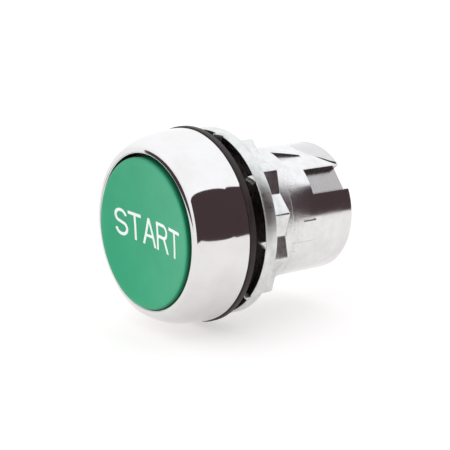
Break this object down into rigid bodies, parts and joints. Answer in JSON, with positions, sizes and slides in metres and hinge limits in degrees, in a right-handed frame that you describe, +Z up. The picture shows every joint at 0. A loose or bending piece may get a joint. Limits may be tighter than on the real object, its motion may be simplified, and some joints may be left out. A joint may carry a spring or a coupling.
{
  "type": "industrial push button",
  "caption": "Panel-mounted push button head: dished cap in a round chromed bezel, gasket, toothed ring nut and a threaded barrel with a coupling sleeve behind.",
  "frame": {"origin": "centre of the panel hole, on the panel's front face, where the gasket's rear face lies", "axes": "+Y along the button's axis towards the rear, so the cap faces -Y; +Z is up with the legend upright; +X is to the right seen from the front"},
  "size_m": [0.0296, 0.0325, 0.0296],
  "materials": {
    "bezel_chrome": "polished chrome plate",
    "barrel_chrome": "satin chrome plate over a die casting",
    "nut_zinc": "dull bright zinc",
    "gasket_rubber": "matt moulded rubber",
    "seal_rubber": "matt moulded rubber",
    "cap_green": "semi-gloss moulded plastic",
    "legend_white": "semi-gloss moulded plastic",
    "guide_plastic": "moulded plastic",
    "plunger_plastic": "moulded plastic",
    "bush_plastic": "self-lubricating plastic",
    "spring_steel": "drawn spring wire",
    "clip_steel": "phosphated spring steel",
    "screw_steel": "bright zinc plate"
  },
  "bodies": {
    "head": {"barrel": "barrel_chrome", "bezel_ring": "bezel_chrome", "bezel_seal": "seal_rubber", "panel_gasket": "gasket_rubber", "diaphragm_seal": "seal_rubber", "diaphragm_clamp_ring": "screw_steel", "guide_sleeve": "guide_plastic", "stem_bush": "bush_plastic", "guide_circlip": "clip_steel", "return_spring": "spring_steel"},
    "button": {"button_cap": "cap_green", "cap_legend": "legend_white", "plunger": "plunger_plastic", "cap_retaining_ring": "clip_steel", "spring_seat": "screw_steel", "stop_washer": "seal_rubber", "plunger_clip": "clip_steel", "pusher_foot": "guide_plastic", "lock_washer": "spring_steel", "pusher_screw": "screw_steel"},
    "nut": {"mounting_nut": "nut_zinc"}
  },
  "joints": [
    {"name": "button_press", "type": "slide", "parent": "head", "child": "button", "axis": [0, 1, 0], "range_m": [0, 0.004], "stiffness_N_per_m": 600, "springref_m": -0.004, "deforming": ["return_spring", "diaphragm_seal"]},
    {"name": "nut_run", "type": "slide", "parent": "head", "child": "nut", "axis": [0, 1, 0], "range_m": [-0.0006, 0.0215]}
  ]
}
